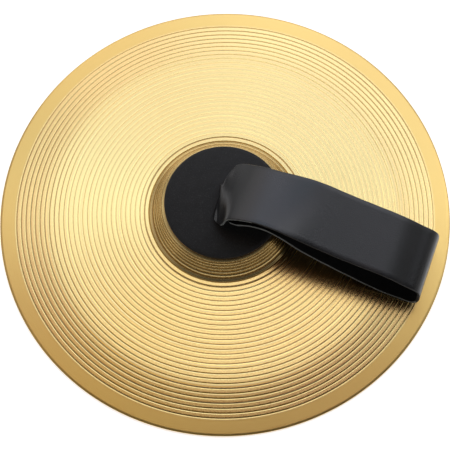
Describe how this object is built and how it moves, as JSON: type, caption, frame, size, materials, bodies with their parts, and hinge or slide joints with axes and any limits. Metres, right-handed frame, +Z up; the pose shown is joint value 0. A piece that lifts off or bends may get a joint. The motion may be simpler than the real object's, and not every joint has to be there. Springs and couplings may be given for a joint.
{
  "type": "hand cymbal",
  "caption": "Round lathed brass hand cymbal with a raised bell, a round pad on the bell and a leather hand strap loop that turns and lifts on its slot.",
  "frame": {"origin": "centre of the rim's flat underside, on the cymbal's axis", "axes": "+Z up through the bell, +X along the strap loop as it lies at rest, +Y across the strap"},
  "size_m": [0.254, 0.254, 0.0539],
  "materials": {
    "brass": "satin lathed grooves",
    "pad": "matte",
    "leather": "semi-matte black",
    "felt": "pressed felt",
    "steel": "zinc plated",
    "nickel": "nickel plated"
  },
  "bodies": {
    "cymbal": {"cymbal_plate": "brass"},
    "strap_mount": {"bell_pad": "pad", "strap_tail_outer": "leather", "strap_tail_inner": "leather", "inner_felt_washer": "felt", "steel_washer": "steel", "tail_eyelet": "nickel", "cross_pin": "steel", "pin_cap_left": "steel", "pin_cap_right": "steel"},
    "strap": {"strap_loop": "leather"}
  },
  "joints": [
    {"name": "strap_turn", "type": "hinge", "parent": "cymbal", "child": "strap_mount", "pos_m": [0, 0, 0.031], "axis": [0, 0, 1], "continuous": true},
    {"name": "strap_lift", "type": "hinge", "parent": "strap_mount", "child": "strap", "pos_m": [0, 0, 0.0339], "axis": [0, -1, 0], "range_deg": [0, 110]}
  ]
}
